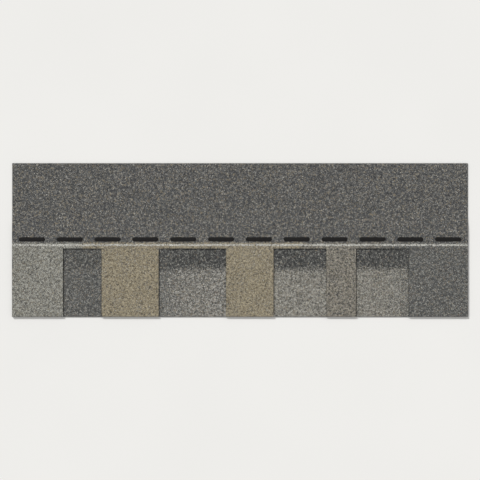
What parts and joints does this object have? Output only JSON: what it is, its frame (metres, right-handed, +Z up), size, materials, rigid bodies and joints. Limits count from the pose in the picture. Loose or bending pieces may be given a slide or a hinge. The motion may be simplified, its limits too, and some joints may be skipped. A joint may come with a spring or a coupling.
{
  "type": "laminated asphalt shingle",
  "caption": "Roofing shingle: a toothed, granule-faced overlay sheet bonded over a backer strip that shows through its cutouts, with sealant dashes.",
  "frame": {"origin": "on the deck, under the middle of the shingle", "axes": "+X along the course, +Y from the butt edge up the roof, +Z up out of the granule face"},
  "size_m": [1, 0.337, 0.0059],
  "materials": {
    "overlay": "matte mineral granules pressed into asphalt, in blended tan and grey areas",
    "backer": "matte mineral granules pressed into asphalt, grey with dark shadow bands",
    "sealant": "satin black self-seal asphalt"
  },
  "bodies": {
    "root": {"overlay_sheet": "overlay", "backer_strip": "backer", "sealant_dash_01": "sealant", "sealant_dash_02": "sealant", "sealant_dash_03": "sealant", "sealant_dash_04": "sealant", "sealant_dash_05": "sealant", "sealant_dash_06": "sealant", "sealant_dash_07": "sealant", "sealant_dash_08": "sealant", "sealant_dash_09": "sealant", "sealant_dash_10": "sealant", "sealant_dash_11": "sealant", "sealant_dash_12": "sealant"}
  },
  "joints": []
}
